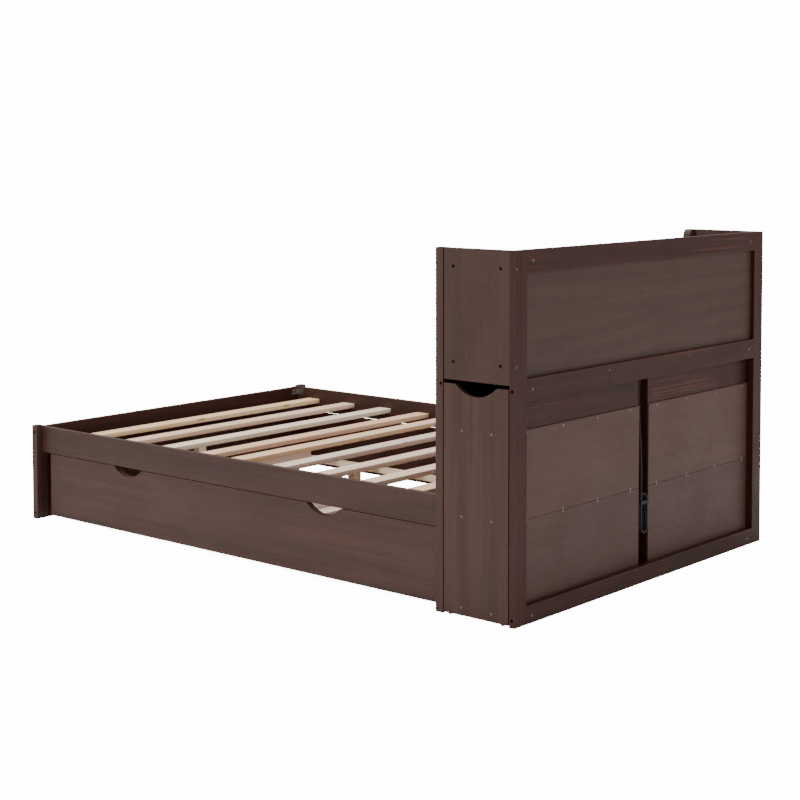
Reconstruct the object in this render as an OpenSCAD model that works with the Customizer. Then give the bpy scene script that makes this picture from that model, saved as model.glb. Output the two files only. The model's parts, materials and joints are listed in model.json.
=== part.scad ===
// Trundle bed with a bookcase headboard, two pull-out shelf carts and a rolling trundle.
// Millimetres, +Z up. The origin is on the floor, midway between the sides and between the ends.
// The headboard stands at the +Y end and the trundle rolls out towards +X.

/* [Overall] */
// Width over the posts, side to side
bed_w = 1480; // [1200:1:1800]
// Length from the back of the headboard to the outside of the foot posts
bed_l = 2350; // [2250:1:2900]
// Height of the headboard
head_h = 1134; // [1000:1:1400]
// Depth of the headboard, front to back
head_d = 308; // [260:1:400]

/* [Headboard] */
// Width of the rear stiles
stile_w = 60; // [45:1:100]
// Thickness of the front posts
front_post_t = 30; // [22:1:40]
// Thickness of the rear frame
rear_t = 21; // [16:1:30]
// How far the rear top rail reaches below the underside of the top board
top_rail_lap = 1; // [0.5:0.5:25]
// Height of the rear middle rail
mid_rail_h = 68; // [40:1:90]
// Height of the bottom rails
bottom_rail_h = 57; // [40:1:90]
// Thickness of the side panels, shelves and dividers
board_t = 18; // [15:1:24]
// Thickness of the thin panel that closes the back of the bookcase
back_t = 6; // [4:1:10]
// Height from the floor to the underside of the bookcase's floor
bookcase_z = 777; // [700:1:850]
// How far the top board's upper face lies below the top of the posts
top_drop = 47; // [20:1:80]
// How far the upper side panels reach below the bookcase's floor
side_skirt = 47; // [20:1:70]
// Gap between the middle rail and the bookcase's floor
mid_rail_drop = 30; // [10:1:60]
// Clear width of the middle compartment
divider_gap = 466; // [300:1:600]
// Rounding of the posts' inner upper corner
post_round = 22; // [5:1:30]
// Gap between an upper side panel and the front post
side_gap = 4; // [1:1:6]

/* [Pull-out carts] */
// Gap above a cart's outer panel
cart_top_gap = 12; // [6:1:20]
// Clearance between a cart and the frame in front of it and behind it
cart_clear = 3.5; // [1:0.5:5]
// Gap between the inner ends of the two carts
cart_mid_gap = 57; // [40:1:90]
// Height of the glides under a cart
glide_h = 5; // [4:1:12]
// Height of the underside of the lowest shelf
shelf_low_z = 21; // [15:1:60]
// Height of the underside of the middle shelf
shelf_mid_z = 303; // [240:1:380]
// Height of the underside of the highest shelf
shelf_top_z = 568; // [500:1:610]
// Thickness of a cart's thin back panels
ply_t = 4; // [3:1:6]
// Gap between a cart's back panels and the rear frame
ply_recess = 5; // [3:1:20]
// Width of the hand grip in a cart's outer panel
cart_grip_w = 172; // [110:1:190]
// Depth of the hand grip in a cart's outer panel
cart_grip_d = 34; // [25:1:50]
// Gap between a cart's inner end and the stop between the carts
stop_clear = 0.5; // [0.5:0.1:3]

/* [Bed frame] */
// Height of the side rails' upper edge
rail_top = 358; // [320:1:420]
// Height of a side rail from edge to edge
rail_h = 99; // [80:1:110]
// Thickness of the side rails and the foot rails
rail_t = 22; // [18:1:30]
// How far the side rails' outer faces are set in from the outside of the posts
rail_inset = 27; // [10:1:40]
// Thickness of the foot posts
foot_post_t = 29; // [22:1:45]
// Height of the foot posts
foot_post_h = 364; // [360:1:450]
// Width and height of the ledges that carry the slats
ledge_w = 25; // [18:1:35]
// How far the slats' upper faces lie below the rails' upper edges
slat_drop = 42; // [30:1:45]
// Thickness of a slat
slat_t = 18; // [12:1:22]
// Width of a slat
slat_w = 65; // [50:1:90]
// Distance from one slat to the next
slat_pitch = 213; // [150:1:218]
// Gap between a slat's ends and the rails
slat_clear = 3; // [1:1:8]
// Depth of the braces under three of the slats
brace_h = 34; // [20:1:36]

/* [Trundle] */
// Gap between the side rail and the top of the trundle
trundle_top_gap = 2; // [1:0.5:8]
// Height of the trundle's boards above the floor
trundle_lift = 18; // [12:1:25]
// Length of the trundle over its boards
trundle_l = 1941; // [1700:1:1985]
// Gap between the trundle and the headboard
trundle_head_gap = 22; // [10:1:50]
// How far the back of the trundle stops short of the far rail's outer face
trundle_back_gap = 13; // [5:1:60]
// Distance from the foot end of the trundle to the middle of its first hand grip
trundle_grip_foot = 459; // [300:1:700]
// Distance from the head end of the trundle to the middle of its other hand grip
trundle_grip_head = 484; // [300:1:700]
// Width of the trundle's hand grips
trundle_grip_w = 164; // [110:1:190]
// Depth of the trundle's hand grips
trundle_grip_d = 32; // [22:1:50]
// Height of the underside of the trundle's slats
deck_z = 60; // [56:1:120]
// Distance of the first trundle slat's middle from the foot end of the trundle
deck_start = 195; // [45:1:250]
// Distance from one trundle slat to the next
deck_pitch = 250; // [150:1:300]
// Diameter of the trundle's wheels
wheel_d = 50; // [40:1:54]
// Width of the trundle's wheels
wheel_w = 22; // [16:1:30]
// Diameter of the wheels' axles
axle_d = 6; // [5:0.5:8]
// Distance of the wheels' axles from the front and the back of the trundle
wheel_in = 110; // [80:1:400]

/* [Fixings] */
// Diameter of the holes that the bolt heads sit in
bolt_hole_d = 10; // [8:0.5:14]
// Diameter of a bolt's head
bolt_head_d = 9; // [7:0.5:10]
// Diameter of a bolt's shank
bolt_d = 6; // [4:0.5:7]
// Diameter of the screws in the carts' outer panels
screw_head_d = 7; // [5:0.5:9]
// Diameter of a nail's head
nail_d = 5; // [3:0.5:7]

/* [Power lead] */
// Diameter of the power lead
cord_d = 6; // [5:0.5:8]
// Straight length of the hank's runs
hank_run = 95; // [90:1:120]
// Bend radius of the hank's folds, at the middle of the lead
hank_r = 18; // [18:1:20]
// Number of turns in the hank
hank_turns = 4; // [3:1:4]

/* [Hidden] */

dark = "#4b332c";
pine = "#e3c39b";
steel = "#b8b8b4";
black = "#1c1c1e";
soft = 48;    // facets of the round cuts and wheels
fine = 24;    // facets of the small fixings

// Main planes
x_out = bed_w / 2;                          // outside of the posts
x_stile = x_out - stile_w;                  // inside of the rear stiles
y_back = bed_l / 2;                         // rear face of the headboard
y_foot = -bed_l / 2;                        // outside of the foot posts
y_front = y_back - head_d;                  // front face of the headboard's posts
y_bay_front = y_front + front_post_t;       // front of the bay behind the front posts
y_bay_back = y_back - rear_t;               // back of the bay, at the rear frame
y_foot_in = y_foot + foot_post_t;           // inside of the foot posts
x_rail = x_out - rail_inset;                // outer face of a side rail
x_rail_in = x_rail - rail_t;                // inner face of a side rail, and of the posts
rail_z = rail_top - rail_h;                 // lower edge of a side rail
top_board_z = head_h - top_drop - board_t;  // underside of the top board
top_rail_h = head_h - top_board_z + top_rail_lap;
side_z = bookcase_z - side_skirt;           // lower edge of an upper side panel
mid_rail_z = bookcase_z - mid_rail_drop - mid_rail_h;
slat_z = rail_top - slat_drop - slat_t;     // underside of the slats
slat_x = x_rail_in - slat_clear;            // half the length of a slat
panel_screw_in = 40;                        // screws' distance from a side panel's edges
rear_screw_in = 34;                         // the same at a panel's rear edge
post_bolt_drop = 15;                        // front posts' bolts, below the side panels
bottom_bolt_up = 0.4;                       // bolts in the bottom rails, as a part of their height
foot_bolt_drop = 20;                        // foot posts' upper bolts, below the rails' upper edges
rail_bolt_up = 25;                          // side rails' lower bolts, above the rails' lower edges
rail_bolt_drop = 45;                        // side rails' upper bolts, below the rails' upper edges
ledge_clear = 6;                            // ledges' distance from the posts at each end
front_panel_t = board_t;

// Bed slats, from the headboard and from the foot
head_slats = 6;
foot_slats = 4;
head_slat_in = 42;                          // headboard to the middle of its first slat
foot_slat_in = 104;                         // foot posts to the middle of their first slat
head_slat_y = y_front - head_slat_in;
foot_slat_y = y_foot_in + foot_slat_in;
function head_slat(i) = head_slat_y - i * slat_pitch;
function foot_slat(i) = foot_slat_y + i * slat_pitch;

// Trundle
tr_top = rail_z - trundle_top_gap;
tr_h = tr_top - trundle_lift;
tr_head = y_front - trundle_head_gap;       // head end of the trundle
tr_foot = tr_head - trundle_l;              // foot end of the trundle
tr_front = x_rail;                          // outer face of the trundle's front
tr_front_in = tr_front - rail_t;
tr_back = -x_rail + trundle_back_gap;       // outer face of the trundle's back
tr_back_in = tr_back + board_t;
grip_ys = [tr_foot + trundle_grip_foot, tr_head - trundle_grip_head];
deck_slats = floor((trundle_l - 2 * deck_start) / deck_pitch) + 1;
wheel_r = wheel_d / 2;
axle_clear = 0.05;                          // radial clearance of a wheel on its axle
fork_t = 2;                                 // thickness of a caster's steel
fork_side_gap = 1;                          // gap on each side of a wheel
fork_top = wheel_d + 3;                     // underside of a caster's top plate
fork_w = 28;                                // width of a caster's steel
fork_below = 8;                             // how far its cheeks reach below the axle
wheel_chamfer = 3;
fork_y = board_t + fork_t + fork_side_gap + wheel_w / 2;  // wheel's middle from the board's outside
wheel_xs = [tr_front - wheel_in, tr_back + wheel_in];
wheel_ys = [tr_foot + fork_y, tr_head - fork_y];

// Carts, drawn for the left one and mirrored for the right one
cart_y0 = y_bay_front + cart_clear;         // front of a cart
cart_y1 = y_bay_back - cart_clear;          // back of a cart's outer panel
cart_x0 = cart_mid_gap / 2;                 // inner end of a cart
cart_x1 = x_out - board_t;                  // inside of a cart's outer panel
cart_top = side_z - cart_top_gap;
cart_inner_drop = 12;                       // a cart's inner end stops this far below its outer panel
cart_inner_top = cart_top - cart_inner_drop;
stop_w = 28;                                // depth of the batten between the carts
ply_y = y_bay_back - ply_recess;            // rear face of the thin back panels
cart_rail_h = 112;
cart_rail_t = 14;
shelf_zs = [shelf_low_z, shelf_mid_z, shelf_top_z];
cart_screw_in = 70;                         // screws' distance from the outer panel's front edge
cart_screw_back = 64;                       // and from its rear edge
nail_proud = 0.8;
nails = 4;                                  // nails in a row
nail_in = 51;                               // first nail's distance from a cart's inner end
nail_out = 75;                              // last nail's distance from its outer panel
nail_edge = 4;                              // nails' distance from the joint of the two back panels
glide_in = 20;                              // glides' distance from a cart's front and back
glide_d = 16;
screw_deep = 3;                             // depth of the holes that the screw heads sit in
screw_sunk = 0.5;                           // how far a screw's head lies below the surface
ply_gap = 1;                                // gap between the two thin back panels

// Charging hub and power lead
hub = [120, 46, 38];
hub_gap = 8;                                // gap between the hub and the back panel
lead_back = 1175;                           // rear face that the lead's points were chosen for
lead_shift = y_back - lead_back;
lead_x = 8;
lead_y = 1135 + lead_shift;
lead_hole_r = 8;
relief_l = 34;                              // length of the tapered strain relief
relief_r = 6;                               // radius at the taper's start
flange_t = 3;
flange_r = lead_hole_r + 4;
relief_z = bookcase_z - flange_t;           // where the taper starts
hank_x = -2;                                // middle of the hank
hank_top = 270;                             // middle of the upper fold
hank_y = 1150 + lead_shift;                 // middle of the first turn
tie_t = 1.2;
tie_h = 12;
tie_drop = 10;                              // tie's middle, below the middle of the upper fold
tie_z = hank_top - tie_drop;
plug_top = 124;
plug_l = 45;
plug_body = [19, 15];
plug_neck_r = 7;
plug_neck_l = 14;
blade = [1.5, 6.4, 16];                     // a plug's blade: thickness, width and length
blade_x = 6.4;                              // blades' distance from the plug's middle
// Middle line of the lead, from the strain relief down to the hank
lead_path = [
    [8, 1135, 740], [8, 1135, 725], [8, 1135, 710], [8, 1135, 695], [9, 1135, 680],
    [9, 1136, 665], [10, 1136, 650], [11, 1136, 630], [12, 1137, 610], [13, 1138, 590],
    [14, 1139, 570], [15, 1140, 550], [15, 1141, 530], [16, 1143, 510], [16, 1144, 490],
    [16, 1146, 470], [16, 1147, 450], [16, 1148, 430], [16, 1149, 410], [16, 1149, 390],
    [16, 1150, 370], [16, 1150, 350], [16, 1150, 330], [16, 1150, 310], [16, 1150, 290],
    [16, 1150, 272],
];
// Middle line of the lead's tail, from the hank down to the plug
tail_path = [[16, 1126, 170], [16, 1126, 155], [16, 1126, 140], [16, 1126, 124]];

// A board from its low corner to its high corner
module board(a, b) {
    translate(a) cube(b - a);
}

// The same board on the left, or mirrored to the right
module sided(side) {
    if (side > 0) children();
    else mirror([1, 0, 0]) children();
}

// A cut through a board along X, from x0 to x1
module hole_x(x0, x1, y, z, d) {
    translate([x0, y, z]) rotate([0, 90, 0]) cylinder(d = d, h = x1 - x0, $fn = fine);
}

// A cut through a board along Y, from y0 to y1
module hole_y(x, y0, y1, z, d) {
    translate([x, y0, z]) rotate([-90, 0, 0]) cylinder(d = d, h = y1 - y0, $fn = fine);
}

// Points on an arc, from angle a0 to angle a1
function arc(c, r, a0, a1, n) = [for (i = [0 : n]) let (a = a0 + (a1 - a0) * i / n) c + r * [cos(a), sin(a)]];

trundle_shoulder = 14;                      // rounding of the grips' shoulders
cart_shoulder = 18;

// Half-moon hand grip with rounded shoulders, cut down from the line y = 0
module grip_shape(w, d, shoulder) {
    half = w / 2;
    rise = (half * half - d * d) / (2 * d) - shoulder;
    a = atan2(rise + shoulder, half);
    polygon(concat(
        arc([-half, -shoulder], shoulder, 90, a, 5),
        arc([0, rise], rise + d, 180 + a, 360 - a, 24),
        arc([half, -shoulder], shoulder, 180 - a, 90, 5),
        [[half, 1], [-half, 1]]
    ));
}

// Outline of a post whose inner upper corner, at x = 0, is rounded
module post_shape(w, h, r) {
    polygon(concat([[0, 0], [w, 0], [w, h]], arc([r, h - r], r, 90, 180, 12)));
}

// A post on the left side, from its outer face in to the side rail's inner face
module post(y1, t, h) {
    translate([x_rail_in, y1, 0]) rotate([90, 0, 0])
        linear_extrude(t) post_shape(x_out - x_rail_in, h, post_round);
}

// ---- Fixings: where they are, and their shape ----

bolt_seat = 8;        // how deep a bolt's head sits
bolt_head_h = 5;
bolt_l = 110;         // bolts through the posts and stiles
confirmat_l = 46;     // screws through the side panels
rail_bolt_l = 85;     // bolts that hold the side rails

// Screws through the upper side panels: [y, z]
side_panel_screws = [
    for (y = [y_bay_front + panel_screw_in, y_bay_back - rear_screw_in])
    for (z = [bookcase_z + board_t / 2, top_board_z + board_t / 2]) [y, z]
];
// Bolts through the rear stiles' edges: z
stile_bolts = [bottom_rail_h * bottom_bolt_up, mid_rail_z + mid_rail_h / 2];
// Bolts through the foot posts' edges: z
foot_bolts = [bottom_rail_h * bottom_bolt_up, rail_top - foot_bolt_drop];
// Bolt through a front post's edge: z
post_bolts = [side_z - post_bolt_drop];
// Bolts that hold the side rails: z
rail_bolts = [rail_z + rail_bolt_up, rail_top - rail_bolt_drop];
stile_mid_y = y_back - rear_t / 2;
front_bolt_y = y_bay_front - front_panel_t / 2;
foot_board_back = 2;                        // the foot board's inner face lies behind the posts'
foot_mid_y = y_foot_in - rail_t / 2 - foot_board_back;
// Screws and cross dowels in the rear frame's back: [x, z, diameter]
dowel_in = 30;                              // dowels' distance from the stile
dowel_d = 10;
divider_screw_in = 17;                      // distance below the middle rail's upper edge
rear_screw_at = concat(
    [for (z = [bookcase_z + board_t / 2, top_board_z + board_t / 2]) [x_out - board_t / 2, z, screw_head_d]],
    [[(divider_gap + board_t) / 2, mid_rail_z + mid_rail_h - divider_screw_in, screw_head_d]],
    [for (z = concat(stile_bolts, [head_h - top_rail_h / 2])) [x_stile - dowel_in, z, dowel_d]]
);

// A bolt along X with its head outwards, on the left side
module bolt_x(y, z, l) {
    translate([x_out - bolt_seat, y, z]) rotate([0, -90, 0]) {
        cylinder(d = bolt_head_d, h = bolt_head_h, $fn = fine);
        cylinder(d = bolt_d, h = l, $fn = fine);
    }
}

// The hole that such a bolt needs
module bolt_x_hole(y, z, l) {
    hole_x(x_out - bolt_seat - bolt_head_h, x_out + 1, y, z, bolt_hole_d);
    hole_x(x_out - bolt_seat - l, x_out, y, z, bolt_d);
}

// A bolt along Y with its head at y0, pointing away from it
module bolt_y(x, y0, z, l, dir) {
    translate([x, y0, z]) rotate([dir > 0 ? -90 : 90, 0, 0]) {
        cylinder(d = bolt_head_d, h = bolt_head_h, $fn = fine);
        cylinder(d = bolt_d, h = l, $fn = fine);
    }
}

// Shallow holes for the rear frame's screws, or with sunk above 0 the screws in them, on the left
module rear_screw_shapes(sunk) {
    for (p = rear_screw_at)
        hole_y(p[0], y_back - screw_deep, sunk > 0 ? y_back - sunk : y_back + 1, p[1], p[2]);
}

module foot_rail_bolts(grow) {
    for (z = rail_bolts) {
        hole_y(x_rail - rail_t / 2, y_foot - grow, y_foot + bolt_head_h + 1, z, bolt_hole_d);
        hole_y(x_rail - rail_t / 2, y_foot, y_foot + rail_bolt_l, z, bolt_d);
    }
}

module head_rail_bolts(grow) {
    for (z = rail_bolts) {
        hole_y(x_rail - rail_t / 2, y_bay_front - bolt_head_h - 1, y_bay_front + grow, z, bolt_hole_d);
        hole_y(x_rail - rail_t / 2, y_bay_front - rail_bolt_l, y_bay_front, z, bolt_d);
    }
}

// ---- Headboard ----

module front_post(side) {
    color(dark) sided(side) difference() {
        post(y_bay_front, front_post_t, head_h);
        for (z = post_bolts) bolt_x_hole(front_bolt_y, z, bolt_l);
        head_rail_bolts(1);
    }
}

module rear_stile(side) {
    color(dark) sided(side) difference() {
        board([x_stile, y_bay_back, 0], [x_out, y_back, head_h]);
        for (z = stile_bolts) bolt_x_hole(stile_mid_y, z, bolt_l);
        rear_screw_shapes(0);
    }
}

module rear_rail(z0, z1) {
    color(dark) difference() {
        board([-x_stile, y_bay_back, z0], [x_stile, y_back, z1]);
        for (side = [1, -1]) sided(side) {
            for (z = stile_bolts) if (z > z0 && z < z1) bolt_x_hole(stile_mid_y, z, bolt_l);
            rear_screw_shapes(0);
        }
    }
}

module rear_top_rail() rear_rail(head_h - top_rail_h, head_h);
module rear_mid_rail() rear_rail(mid_rail_z, mid_rail_z + mid_rail_h);
module rear_bottom_rail() rear_rail(0, bottom_rail_h);

module upper_back_panel() {
    color(dark) board([-x_stile, y_bay_back, mid_rail_z + mid_rail_h],
                      [x_stile, y_bay_back + back_t, head_h - top_rail_h]);
}

module rear_screws() {
    color(steel) for (side = [1, -1]) sided(side) rear_screw_shapes(screw_sunk);
}

module upper_side(side) {
    color(dark) sided(side) difference() {
        board([x_out - board_t, y_bay_front + side_gap, side_z], [x_out, y_bay_back, head_h]);
        for (p = side_panel_screws) bolt_x_hole(p[0], p[1], confirmat_l);
    }
}

module bay_board(z) {
    difference() {
        board([board_t - x_out, y_bay_front, z], [x_out - board_t, y_bay_back, z + board_t]);
        for (side = [1, -1]) sided(side) for (p = side_panel_screws)
            if (p[1] > z && p[1] < z + board_t) bolt_x_hole(p[0], p[1], confirmat_l);
    }
}

module top_board() color(dark) bay_board(top_board_z);

module bookcase_floor() {
    color(dark) difference() {
        bay_board(bookcase_z);
        translate([lead_x, lead_y, bookcase_z - 1]) cylinder(r = lead_hole_r, h = board_t + 2, $fn = soft);
    }
}

module dividers() {
    color(dark) for (side = [1, -1]) sided(side)
        board([divider_gap / 2, y_bay_front, bookcase_z + board_t],
              [divider_gap / 2 + board_t, y_bay_back, top_board_z]);
}

module front_panel() {
    color(dark) difference() {
        board([-x_rail_in, y_bay_front - front_panel_t, bottom_rail_h],
              [x_rail_in, y_bay_front, bookcase_z + board_t]);
        for (side = [1, -1]) sided(side) for (z = post_bolts) bolt_x_hole(front_bolt_y, z, bolt_l);
    }
}

module front_bottom_rail() {
    color(dark) board([-x_rail_in, y_bay_front - rail_t, 0], [x_rail_in, y_bay_front, bottom_rail_h]);
}

// Batten that the carts' inner ends come to rest on
module cart_stop() {
    color(dark) board([stop_clear - cart_x0, y_bay_front, bottom_rail_h],
                      [cart_x0 - stop_clear, y_bay_front + stop_w, cart_inner_top]);
}

// ---- Charging hub and power lead ----

module charging_hub() {
    z0 = bookcase_z + board_t;
    y0 = y_bay_back - hub_gap - hub[1];
    color(black) board([-hub[0] / 2, y0, z0], [hub[0] / 2, y0 + hub[1], z0 + hub[2]]);
}

module cord_grommet() {
    color(black) translate([lead_x, lead_y, 0]) rotate_extrude($fn = soft) polygon([
        [0, bookcase_z + board_t], [lead_hole_r, bookcase_z + board_t], [lead_hole_r, bookcase_z],
        [flange_r, bookcase_z], [flange_r, relief_z], [relief_r, relief_z],
        [cord_d / 2 + 0.6, relief_z - relief_l], [0, relief_z - relief_l],
    ]);
}

// Unit vectors across a route at point i, for a route that runs mostly downwards
function along(p, i) = p[min(i + 1, len(p) - 1)] - p[max(i - 1, 0)];
function unit(v) = v / norm(v);
function across(p, i) = unit(cross(along(p, i), [0, 1, 0]));
function out_of(p, i) = unit(cross(across(p, i), along(p, i)));

module tube(p, d, sides) {
    n = len(p);
    pts = [for (i = [0 : n - 1]) for (k = [0 : sides - 1])
        p[i] + d / 2 * (cos(360 * k / sides) * across(p, i) + sin(360 * k / sides) * out_of(p, i))];
    walls = [for (i = [0 : n - 2]) for (k = [0 : sides - 1])
        [i * sides + k, (i + 1) * sides + k,
         (i + 1) * sides + (k + 1) % sides, i * sides + (k + 1) % sides]];
    first = [for (k = [0 : sides - 1]) k];
    last = [for (k = [sides - 1 : -1 : 0]) (n - 1) * sides + k];
    polyhedron(points = pts, faces = concat(walls, [first, last]), convexity = 4);
}

module cord_lead() {
    color(black) translate([0, lead_shift, 0]) {
        tube(lead_path, cord_d, 8);
        tube(tail_path, cord_d, 8);
    }
}

// Outer shape of the folded lead: an outline with round ends
module hank_shape(grow) {
    for (z = [hank_top, hank_top - hank_run])
        translate([hank_x, z]) circle(r = hank_r + cord_d / 2 + grow, $fn = soft);
    translate([hank_x - hank_r - cord_d / 2 - grow, hank_top - hank_run])
        square([2 * hank_r + cord_d + 2 * grow, hank_run]);
}

module cord_hank() {
    depth = (hank_turns + 1) * cord_d;
    color(black) translate([0, hank_y + cord_d / 2, 0]) rotate([90, 0, 0])
        linear_extrude(depth) hank_shape(0);
}

module cord_tie() {
    half = hank_r + cord_d / 2;
    y1 = hank_y + cord_d / 2;
    y0 = y1 - (hank_turns + 1) * cord_d;
    color(black) difference() {
        board([hank_x - half - tie_t, y0 - tie_t, tie_z - tie_h / 2],
              [hank_x + half + tie_t, y1 + tie_t, tie_z + tie_h / 2]);
        board([hank_x - half, y0, tie_z - tie_h], [hank_x + half, y1, tie_z + tie_h]);
    }
}

module cord_plug() {
    end = tail_path[len(tail_path) - 1];
    color(black) translate([end[0], end[1] + lead_shift, 0]) {
        translate([0, 0, plug_top - plug_neck_l])
            cylinder(r1 = plug_neck_r, r2 = cord_d / 2 + 1, h = plug_neck_l, $fn = soft);
        board([-plug_body[0] / 2, -plug_body[1] / 2, plug_top - plug_l],
              [plug_body[0] / 2, plug_body[1] / 2, plug_top - plug_neck_l]);
    }
    color(steel) translate([end[0], end[1] + lead_shift, 0]) for (x = [-blade_x, blade_x])
        board([x - blade[0] / 2, -blade[1] / 2, plug_top - plug_l - blade[2]],
              [x + blade[0] / 2, blade[1] / 2, plug_top - plug_l]);
}

// ---- Bed frame ----

module foot_post(side) {
    color(dark) sided(side) difference() {
        post(y_foot_in, foot_post_t, foot_post_h);
        for (z = foot_bolts) bolt_x_hole(foot_mid_y, z, bolt_l);
        foot_rail_bolts(1);
    }
}

module foot_board() {
    color(dark) difference() {
        board([-x_rail_in, foot_mid_y - rail_t / 2, 0], [x_rail_in, foot_mid_y + rail_t / 2, rail_top]);
        for (side = [1, -1]) sided(side) for (z = foot_bolts) bolt_x_hole(foot_mid_y, z, bolt_l);
    }
}

// Steel angles in the foot corners, from the side rails to the foot board
bracket_l = 36;
bracket_h = 26;
bracket_t = 2;
bracket_drop = 8;                           // below the side rails' upper edges
bracket_hole_d = 6;

module corner_brackets() {
    y0 = foot_mid_y + rail_t / 2;
    z0 = rail_top - bracket_drop - bracket_h;
    mid = bracket_l / 2 + bracket_t;
    color(steel) for (side = [1, -1]) sided(side) difference() {
        board([x_rail_in - bracket_l, y0, z0], [x_rail_in, y0 + bracket_l, z0 + bracket_h]);
        board([x_rail_in - bracket_l - 1, y0 + bracket_t, z0 - 1],
              [x_rail_in - bracket_t, y0 + bracket_l + 1, z0 + bracket_h + 1]);
        hole_y(x_rail_in - mid, y0 - 1, y0 + bracket_t + 1, z0 + bracket_h / 2, bracket_hole_d);
        hole_x(x_rail_in - bracket_t - 1, x_rail_in + 1, y0 + mid, z0 + bracket_h / 2, bracket_hole_d);
    }
}

module side_rail(side) {
    color(dark) sided(side) difference() {
        board([x_rail_in, y_foot_in, rail_z], [x_rail, y_front, rail_top]);
        foot_rail_bolts(1);
        head_rail_bolts(1);
    }
}

module slat_ledge(side) {
    color(dark) sided(side)
        board([x_rail_in - ledge_w, y_foot_in + ledge_clear, slat_z - ledge_w],
              [x_rail_in, y_front - ledge_clear, slat_z]);
}

module slat(y) {
    color(pine) board([-slat_x, y - slat_w / 2, slat_z], [slat_x, y + slat_w / 2, slat_z + slat_t]);
}

module slats_head() for (i = [0 : head_slats - 1]) slat(head_slat(i));
module slats_foot() for (i = [0 : foot_slats - 1]) slat(foot_slat(i));

// A rib under the slat at mid-length and a block under one slat on each side of it
brace_x = 408;                              // middle of the rib, and the blocks' outer end
brace_l = 440;
block_l = 34;

module slat_braces() {
    rib_y = head_slat(head_slats - 1);
    color(pine) {
        board([brace_x - brace_l / 2, rib_y + slat_w / 2 - rail_t, slat_z - brace_h],
              [brace_x + brace_l / 2, rib_y + slat_w / 2, slat_z]);
        for (y = [head_slat(head_slats - 3), foot_slat(foot_slats - 2)])
            board([brace_x - block_l, y, slat_z - brace_h], [brace_x, y + slat_w / 2, slat_z]);
    }
}

module frame_bolts() {
    color(steel) for (side = [1, -1]) sided(side) {
        for (p = side_panel_screws) bolt_x(p[0], p[1], confirmat_l);
        for (z = stile_bolts) bolt_x(stile_mid_y, z, bolt_l);
        for (z = post_bolts) bolt_x(front_bolt_y, z, bolt_l);
        for (z = foot_bolts) bolt_x(foot_mid_y, z, bolt_l);
        for (z = rail_bolts) {
            bolt_y(x_rail - rail_t / 2, y_foot + 1, z, rail_bolt_l - 1, 1);
            bolt_y(x_rail - rail_t / 2, y_bay_front - 1, z, rail_bolt_l - 1, -1);
        }
    }
}

// ---- Trundle ----

module trundle_front() {
    color(dark) difference() {
        board([tr_front_in, tr_foot, trundle_lift], [tr_front, tr_head, tr_top]);
        for (y = grip_ys) translate([tr_front_in - 1, y, tr_top])
            rotate([90, 0, 90]) linear_extrude(rail_t + 2)
                grip_shape(trundle_grip_w, trundle_grip_d, trundle_shoulder);
    }
}

module trundle_back() {
    color(dark) board([tr_back, tr_foot, trundle_lift], [tr_back_in, tr_head, tr_top]);
}

module trundle_end(y0) {
    color(dark) board([tr_back_in, y0, trundle_lift], [tr_front_in, y0 + board_t, tr_top]);
}

module trundle_end_head() trundle_end(tr_head - board_t);
module trundle_end_foot() trundle_end(tr_foot);

module trundle_ledges() {
    color(pine) {
        board([tr_front_in - ledge_w, tr_foot + board_t, deck_z - ledge_w],
              [tr_front_in, tr_head - board_t, deck_z]);
        board([tr_back_in, tr_foot + board_t, deck_z - ledge_w],
              [tr_back_in + ledge_w, tr_head - board_t, deck_z]);
    }
}

module trundle_slats() {
    color(pine) for (i = [0 : deck_slats - 1]) {
        y = tr_foot + deck_start + i * deck_pitch;
        board([tr_back_in + slat_clear, y - slat_w / 2, deck_z],
              [tr_front_in - slat_clear, y + slat_w / 2, deck_z + slat_t]);
    }
}

// A bent steel fork with its axle, its middle at the wheel's
module caster_fork() {
    reach = wheel_w / 2 + fork_side_gap;
    color(steel) {
        for (s = [-1, 1])
            translate([-fork_w / 2, s > 0 ? reach : -reach - fork_t, wheel_r - fork_below])
                cube([fork_w, fork_t, fork_top + fork_t - wheel_r + fork_below]);
        translate([-fork_w / 2, -reach, fork_top]) cube([fork_w, 2 * reach, fork_t]);
        translate([0, -reach, wheel_r]) rotate([-90, 0, 0])
            cylinder(d = axle_d, h = 2 * reach, $fn = soft);
    }
}

module caster_forks() {
    for (x = wheel_xs) for (y = wheel_ys) translate([x, y, 0]) caster_fork();
}

module wheel(x, y) {
    bore = axle_d / 2 + axle_clear;
    half = wheel_w / 2;
    color(black) translate([x, y, wheel_r]) rotate([90, 0, 0]) rotate_extrude($fn = soft) polygon([
        [bore, -half], [wheel_r - wheel_chamfer, -half], [wheel_r, wheel_chamfer - half],
        [wheel_r, half - wheel_chamfer], [wheel_r - wheel_chamfer, half], [bore, half],
    ]);
}

module wheel_front_foot() wheel(wheel_xs[0], wheel_ys[0]);
module wheel_front_head() wheel(wheel_xs[0], wheel_ys[1]);
module wheel_back_foot() wheel(wheel_xs[1], wheel_ys[0]);
module wheel_back_head() wheel(wheel_xs[1], wheel_ys[1]);

// ---- Pull-out carts ----

cart_screw_ys = [cart_y0 + cart_screw_in, cart_y1 - cart_screw_back];

module cart_face(side) {
    color(dark) sided(side) difference() {
        board([cart_x1, cart_y0, glide_h], [x_out, cart_y1, cart_top]);
        translate([cart_x1 - 1, (cart_y0 + cart_y1) / 2, cart_top]) rotate([90, 0, 90])
            linear_extrude(board_t + 2) grip_shape(cart_grip_w, cart_grip_d, cart_shoulder);
        for (z = shelf_zs) for (y = cart_screw_ys)
            hole_x(x_out - screw_deep, x_out + 1, y, z + board_t / 2, screw_head_d);
    }
}

module cart_inner(side) {
    color(dark) sided(side)
        board([cart_x0, cart_y0, glide_h], [cart_x0 + board_t, ply_y - ply_t, cart_inner_top]);
}

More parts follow.
